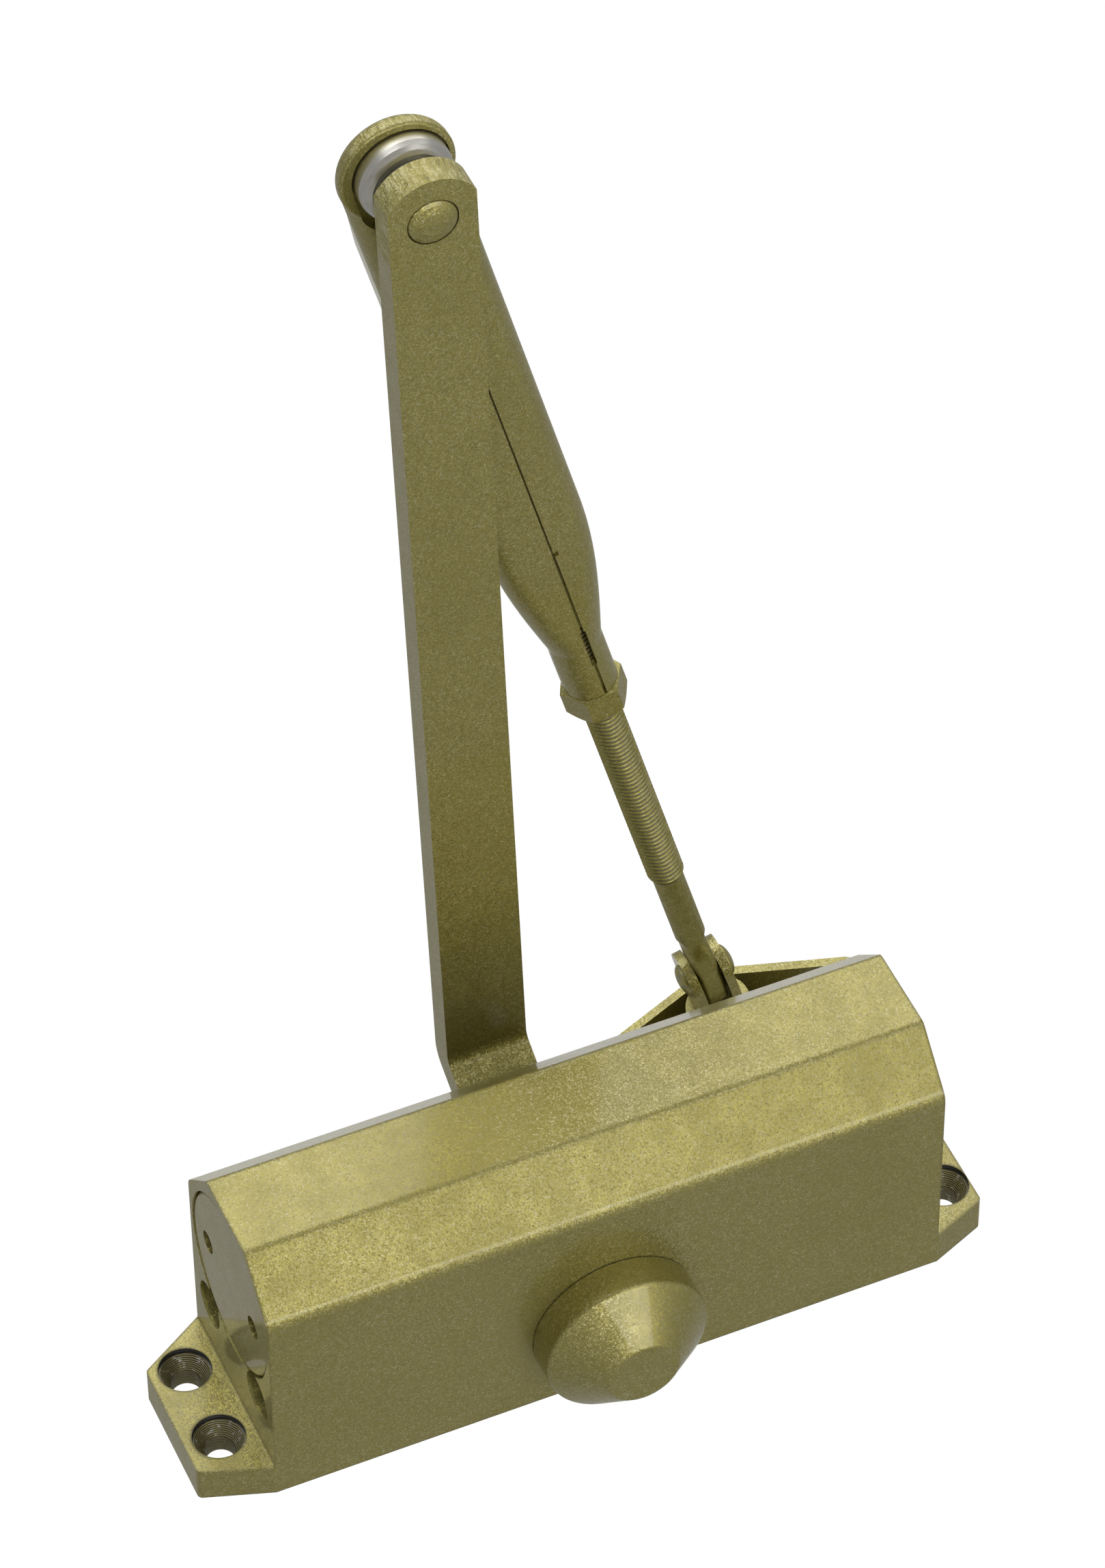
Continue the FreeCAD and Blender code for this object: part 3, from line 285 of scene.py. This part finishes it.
def rough_end_paint(name, centre, radius):
    """Paint over a sheared end: the edge faces near centre are torn and bright, the rest is smooth."""
    s = Shader(name)
    tone, rough, normal = paint_layers(s)
    upright = s.math("ABSOLUTE", s.split(s.geometry.outputs["Normal"])[2])
    on_edge = s.ramp(upright, 0.35, 0.6, 1.0, 0.0)
    near = s.ramp(s.vector("DISTANCE", s.position(), centre), radius * 0.93, radius, 1.0, 0.0)
    torn = s.product(on_edge, near)
    grain = s.vector("MULTIPLY", s.position(), (1.0, 1.0, 0.28))
    tear = s.noise(950.0, 6.0, 0.7, grain)
    tone = s.blend(s.product(torn, s.ramp(tear, 0.45, 0.62, 0.1, 0.85)), tone, GOLD_PALE)
    tone = s.blend(s.product(torn, s.ramp(tear, 0.30, 0.40, 0.8, 0.0)), tone, DARK_STEEL)
    bumped = s.bump(s.product(tear, torn), 0.0005, 0.9, normal)
    return painted(s, tone, rough, bumped, coat_outside(s, torn))


# ---- metals and rubber ----
def steel(name, tone, streak=EVEN, rough=0.32, overspray=0.0, grime=0.3):
    """Bare metal with fine scratches, dull patches and, where asked, a dusting of gold paint."""
    s = Shader(name)
    scratch = s.noise(9.0, 6.0, 0.65, s.vector("MULTIPLY", s.position(), streak))
    patch = s.noise(120.0, 3.0)
    colour = s.blend(s.ramp(patch, 0.4, 0.75, 0.0, grime), tone, DULL_STEEL)
    colour = s.blend(s.ramp(scratch, 0.55, 0.7, 0.0, 0.25), colour, DARK_STEEL)
    if overspray:
        specks = s.math("ADD", s.split(s.cells(2400.0))[1], s.product(patch, 0.6))
        colour = s.blend(s.ramp(specks, 1.15 - overspray, 1.35 - overspray), colour, GOLD)
    roughness = s.ramp(scratch, 0.3, 0.8, rough - 0.08, rough + 0.14)
    return s.set(Base_Color=colour, Metallic=0.95, Roughness=roughness, Normal=s.bump(scratch, 0.00004, 0.5))


def drum_steel():
    """Turned steel, silver at the front edge and misted with gold towards the pan."""
    s = Shader("spacer_steel")
    low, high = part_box("elbow_spacer")
    turning = s.noise(9.0, 5.0, 0.6, s.vector("MULTIPLY", s.position(), DRUM_STREAK))
    height = s.ramp(s.split(s.position())[2], low[2], high[2], -0.25, 0.45)
    mist = s.math("MULTIPLY_ADD", s.noise(150.0, 4.0), 0.5, height)
    colour = s.blend(s.ramp(turning, 0.4, 0.7, 0.1, 0.4), BARE_STEEL, DULL_STEEL)
    colour = s.blend(s.ramp(mist, 0.1, 0.65, 0.0, 0.85), colour, GOLD_PALE)
    rough = s.ramp(turning, 0.3, 0.7, 0.30, 0.42)
    return s.set(Base_Color=colour, Metallic=0.95, Roughness=rough, Normal=s.bump(turning, 0.00003, 0.4))


def rubber(name):
    s = Shader(name)
    dust = s.noise(260.0, 5.0)
    colour = s.blend(s.ramp(dust, 0.5, 0.8, 0.0, 0.3), BLACK_RUBBER, RUBBER_DUST)
    rough = s.ramp(dust, 0.3, 0.7, 0.5, 0.75)
    return s.set(Base_Color=colour, Roughness=rough, Normal=s.bump(dust, 0.00005, 0.4))


# ---- materials on the CAD nodes: node, material and what differs from the usual ----
PAINTS = (
    ("valve_end_plug", "plug_paint", {"coat": 0.6, "coat_rough": 0.07}),
    ("spring_end_plug", "spring_plug_paint", {"coat": 0.6, "coat_rough": 0.07}),
    ("spindle_cap", "cap_paint", {"tilt": 0.30}),
    ("elbow_rivet", "rivet_paint", {}),
    ("lock_nut", "nut_paint", {"coat": 0.3}),
    ("fork", "fork_paint", {"coat": 0.4}),
    ("shoe", "shoe_paint", {"coat": 0.35, "coat_rough": 0.15}),
)
METALS = (
    ("elbow_washer", "elbow_washer_steel", DULL_STEEL, {"rough": 0.4}),
    ("fork_pin", "fork_pin_steel", DULL_STEEL, {"rough": 0.4, "overspray": 0.85}),
    ("swivel_rivet", "swivel_rivet_steel", DULL_STEEL, {"rough": 0.4}),
    ("swivel_washer", "swivel_washer_steel", BARE_STEEL, {}),
    ("closing_valve", "valve_steel", DULL_STEEL, {"rough": 0.35}),
    ("latching_valve", "latching_valve_steel", DULL_STEEL, {"rough": 0.35}),
    ("pinion_shaft", "pinion_steel", DULL_STEEL, {"streak": ROUND_Z, "rough": 0.28}),
    ("piston", "piston_steel", DULL_STEEL, {"streak": ROUND_X, "rough": 0.25}),
    ("lower_bush", "lower_bush_bronze", BRONZE, {"streak": ROUND_Z, "rough": 0.3}),
    ("upper_bush", "upper_bush_bronze", BRONZE, {"streak": ROUND_Z, "rough": 0.3}),
    ("seal_retainer", "seal_retainer_steel", BARE_STEEL, {"rough": 0.35}),
    ("bearing_cap", "bearing_cap_steel", BARE_STEEL, {"rough": 0.35}),
    ("check_ball", "check_ball_steel", BARE_STEEL, {"rough": 0.16, "grime": 0.1}),
    ("check_retainer", "check_retainer_steel", BARE_STEEL, {"rough": 0.3}),
    ("closing_spring", "closing_spring_steel", DARK_STEEL, {"streak": COILED_X, "rough": 0.35}),
    ("spring_seat", "spring_seat_steel", BARE_STEEL, {"rough": 0.35}),
    ("arm_screw", "arm_screw_steel", BARE_STEEL, {"rough": 0.3}),
    ("arm_washer", "arm_washer_steel", BARE_STEEL, {"rough": 0.3}),
)
SEALS = ("plug_seals", "valve_seals", "bearing_cap_seal", "shaft_seal")


def give(node, material):
    mesh = nodes[node].data
    mesh.materials.clear()
    mesh.materials.append(material)


elbow = centre_of("elbow_rivet")
arm_end = (elbow.x, elbow.y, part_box("main_arm")[1][2] - HALF_ARM)
forearm_end = (elbow.x, elbow.y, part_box("forearm")[0][2])
give("closer_body", body_paint())
give("main_arm", rough_end_paint("arm_paint", arm_end, SHEARED_RADIUS))
give("forearm", rough_end_paint("forearm_paint", forearm_end, SHEARED_RADIUS))
give("elbow_spacer", drum_steel())
for node, name, options in PAINTS:
    give(node, paint(name, **options))
for node, name, tone, options in METALS:
    give(node, steel(name, tone, **options))
for seal in SEALS:
    give(seal, rubber(seal + "_rubber"))


# ---- adjuster rod with a rolled thread: millimetres along the rod, with the fork pin at 0 ----
PITCH = 1.25
STEPS_PER_TURN = 7
CREST = 3.95
ROOT = 3.28
SHANK = 3.3
AROUND = 64
THREAD_START = -145.0
THREAD_END = -36.0
THREAD_FADE = 0.9
NECK_START = -14.2
NECK_LENGTH = 6.0
EYE_HALF_X = 2.6
EYE_HALF_Z = 4.8
EYE_POWER = 0.38
EYE_ROUND_START = 4.4
EYE_THINNING = 0.35
EYE_TIP = 0.4
ANGLES = [2 * math.pi * k / AROUND for k in range(AROUND)]


def rod_frame():
    """The fork pin's place, and the directions along the pin, along the rod to the pin, and across both."""
    along = Vector(joint("rod_adjust")["axis"])
    across = Vector(joint("fork_tilt")["axis"])
    pin = Vector(joint("fork_tilt")["pos_m"])
    return pin, across, along, across.cross(along)


def thread_radius(y, angle):
    """Rounded rolled thread that fades in and out at its ends."""
    phase = (y / PITCH - angle / (2 * math.pi)) % 1.0
    ridge = min(1.0, max(0.0, 1.35 - abs(phase - 0.5) * 3.9))
    fade = min(1.0, max(0.0, (y - THREAD_START) / THREAD_FADE), max(0.0, (THREAD_END - y) / THREAD_FADE))
    return ROOT + (CREST - ROOT) * ridge * fade


def make_rod():
    pin, across, along, up = rod_frame()
    mesh = bmesh.new()
    rings = []

    def add_ring(points):
        rings.append([mesh.verts.new(pin + across * (x * MM) + along * (y * MM) + up * (z * MM))
                      for x, y, z in points])

    def add_section(y, half_x, half_z, power):
        """A ring that is round at power 1 and nearly a rectangle at a small power."""
        points = []
        for angle in ANGLES:
            cosine, sine = math.cos(angle), math.sin(angle)
            x = half_x * math.copysign(abs(cosine) ** power, cosine)
            z = half_z * math.copysign(abs(sine) ** power, sine)
            points.append((x, y, z))
        add_ring(points)

    y = THREAD_START
    while y < THREAD_END:
        radii = [thread_radius(y, angle) for angle in ANGLES]
        add_ring([(radius * math.cos(angle), y, radius * math.sin(angle))
                  for radius, angle in zip(radii, ANGLES)])
        y += PITCH / STEPS_PER_TURN
    for y in (-35.9, -35.4, -30.0, -24.0, -18.0, NECK_START):
        add_section(y, SHANK, SHANK, 1.0)
    for t in (0.2, 0.4, 0.6, 0.8, 1.0):
        ease = t * t * (3 - 2 * t)
        half_z = SHANK + (EYE_HALF_Z - SHANK) * ease
        add_section(NECK_START + NECK_LENGTH * t, EYE_HALF_X, half_z, 1.0 - (1.0 - EYE_POWER) * ease)
    for y in (-6.0, -3.0, 0.0, 3.0):
        add_section(y, EYE_HALF_X, EYE_HALF_Z, EYE_POWER)
    for t in (0.25, 0.5, 0.7, 0.85, 0.95, 1.0):
        half_z = max(EYE_HALF_Z * math.sqrt(1 - t * t), EYE_TIP)
        add_section(EYE_ROUND_START + EYE_HALF_Z * t, EYE_HALF_X - EYE_THINNING * t * t, half_z, EYE_POWER)

    for a, b in zip(rings, rings[1:]):
        for k in range(AROUND):
            mesh.faces.new((a[k], a[(k + 1) % AROUND], b[(k + 1) % AROUND], b[k]))
    mesh.faces.new(list(reversed(rings[0])))
    mesh.faces.new(rings[-1])
    bmesh.ops.recalc_face_normals(mesh, faces=mesh.faces)
    data = bpy.data.meshes.new("threaded_rod")
    mesh.to_mesh(data)
    mesh.free()
    for face in data.polygons:
        face.use_smooth = True
    made = bpy.data.objects.new("threaded_rod", data)
    bpy.context.scene.collection.objects.link(made)
    return made


def rod_material():
    """Plated steel dusted with gold paint, which is rubbed off the thread crests to bare steel; the bare crests
    are made brighter on one flank of the rod, a painted highlight, and the thread roots are darkened, painted
    shade.
    """
    s = Shader("rod_steel")
    pin, across, along, up = rod_frame()
    from_pin = s.vector("SUBTRACT", s.position(), tuple(pin))
    distance = s.vector("DOT_PRODUCT", from_pin, tuple(along))
    radial = s.vector("SUBTRACT", from_pin, s.vector("SCALE", tuple(along), scale=distance))
    depth = s.vector("LENGTH", radial)
    crest = s.ramp(depth, 3.62 * MM, 3.93 * MM)
    threaded = s.ramp(distance, (THREAD_END - 0.5) * MM, (THREAD_END + 0.5) * MM, 1.0, 0.0)
    # Painted highlight: the crests rubbed to bare steel are real wear, but they are weighted to one flank of the
    # rod, across the fork pin, so that flank reads brighter.
    lit_flank = s.ramp(s.vector("DOT_PRODUCT", radial, tuple(across)), -1.5 * MM, 2.5 * MM)
    scuff = s.noise(420.0, 5.0, 0.6)
    crest_wear_and_highlight = s.product(s.product(crest, threaded), s.ramp(scuff, 0.35, 0.6))
    crest_wear_and_highlight = s.product(crest_wear_and_highlight, s.math("MULTIPLY_ADD", lit_flank, 0.5, 0.03))
    cell = s.split(s.cells(2700.0))[0]
    tone = s.blend(s.ramp(cell, 0.0, 1.0, 0.1, 0.9), GOLD_DEEP, GOLD)
    tone = s.blend(s.product(crest_wear_and_highlight, 0.45), tone, BARE_STEEL)
    # Painted shade: the thread roots are darkened towards dark steel.
    root_shade = s.product(s.ramp(depth, 3.35 * MM, 3.75 * MM, 1.0, 0.0), threaded)
    tone = s.blend(s.product(root_shade, 0.8), tone, DARK_STEEL)
    rough = s.ramp(scuff, 0.3, 0.7, 0.34, 0.5)
    return s.set(Base_Color=tone, Metallic=0.9, Roughness=rough, Normal=s.bump(scuff, 0.00005, 0.5))


rod = make_rod()
rod.data.materials.append(rod_material())
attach(rod, "rod")
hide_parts("adjuster_rod")


# ---- floor and lights ----
def square(name, centre, size, material):
    mesh = bmesh.new()
    bmesh.ops.create_grid(mesh, x_segments=4, y_segments=4, size=size / 2)
    bmesh.ops.translate(mesh, verts=mesh.verts, vec=centre)
    data = bpy.data.meshes.new(name)
    mesh.to_mesh(data)
    mesh.free()
    made = bpy.data.objects.new(name, data)
    bpy.context.scene.collection.objects.link(made)
    data.materials.append(material)
    return made


def floor_material():
    s = Shader("studio_floor")
    tone = s.blend(s.noise(3.0, 4.0), FLOOR_DARK, FLOOR_LIGHT)
    return s.set(Base_Color=tone, Roughness=0.85, Specular_IOR_Level=0.2)


low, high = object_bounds()
middle = (low + high) / 2
span = (high - low).length
floor_centre = Vector((middle.x, middle.y, low.z - FLOOR_DROP * span))
floor = square("studio_floor", floor_centre, FLOOR_SIZE * span, floor_material())
floor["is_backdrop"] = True


def softbox(name, direction, distance, size, power, tint=WHITE):
    """A rectangular lamp of the given size in metres that faces the middle of the closer."""
    lamp = bpy.data.lights.new(name, "AREA")
    lamp.shape = "RECTANGLE"
    lamp.size, lamp.size_y = size
    lamp.energy = power
    lamp.color = tint
    made = bpy.data.objects.new(name, lamp)
    bpy.context.scene.collection.objects.link(made)
    made.location = middle + Vector(direction).normalized() * distance
    made.rotation_mode = "QUATERNION"
    made.rotation_quaternion = (middle - made.location).to_track_quat("-Z", "Y")


softbox("key_softbox", (0.30, -0.66, 0.68), 1.6, (1.7, 1.2), KEY_POWER, KEY_TINT)
softbox("front_softbox", (0.50, -0.70, -0.50), 1.5, (0.9, 0.7), FRONT_POWER, FRONT_TINT)
softbox("low_softbox", (0.12, -0.34, -0.93), 0.95, (0.9, 0.25), LOW_POWER)
softbox("left_softbox", (-0.25, -0.85, 0.45), 1.5, (0.7, 0.7), LEFT_POWER)


# ---- camera: below and in front of the closer, rolled so that the body climbs to the right ----
azimuth, elevation, roll = (math.radians(angle) for angle in CAMERA_ANGLES)
forward = Vector((-math.sin(azimuth) * math.cos(elevation), math.cos(azimuth) * math.cos(elevation),
                  -math.sin(elevation)))
level = Vector((math.cos(azimuth), math.sin(azimuth), 0.0))
right = level * math.cos(roll) - level.cross(forward) * math.sin(roll)
up = right.cross(forward)

camera_data = bpy.data.cameras.new("camera")
camera_data.sensor_width = SENSOR_WIDTH
camera_data.lens = CAMERA_LENS
camera_data.clip_start = CLIP_START
camera_data.clip_end = CLIP_END
camera = bpy.data.objects.new("camera", camera_data)
bpy.context.scene.collection.objects.link(camera)
bpy.context.scene.camera = camera
camera_place = Vector(CAMERA_TARGET) * MM - forward * CAMERA_DISTANCE
camera.matrix_world = Matrix.Translation(camera_place) @ Matrix((right, up, -forward)).transposed().to_4x4()


# ---- surroundings: a white backdrop round one fixed direction, and an even grey everywhere else ----
def studio_world(backdrop):
    """The backdrop's edge and core are cosines of the angle from the direction given."""
    world = bpy.data.worlds.new("studio")
    world.use_nodes = True
    tree = world.node_tree
    coords = tree.nodes.new("ShaderNodeTexCoord")
    facing = tree.nodes.new("ShaderNodeVectorMath")
    facing.operation = "DOT_PRODUCT"
    facing.inputs[1].default_value = tuple(backdrop)
    glow = tree.nodes.new("ShaderNodeMapRange")
    glow.interpolation_type = "SMOOTHSTEP"
    for name, value in (("From Min", BACKDROP_EDGE), ("From Max", BACKDROP_CORE),
                        ("To Min", STUDIO_DIM), ("To Max", STUDIO_FULL)):
        glow.inputs[name].default_value = value
    background = tree.nodes["Background"]
    background.inputs["Color"].default_value = (1.0, 1.0, 1.0, 1.0)
    tree.links.new(coords.outputs["Generated"], facing.inputs[0])
    tree.links.new(facing.outputs["Value"], glow.inputs["Value"])
    tree.links.new(glow.outputs["Result"], background.inputs["Strength"])
    return world


bpy.context.scene.world = studio_world(forward)
bpy.context.scene.view_settings.view_transform = "Standard"

low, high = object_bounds()
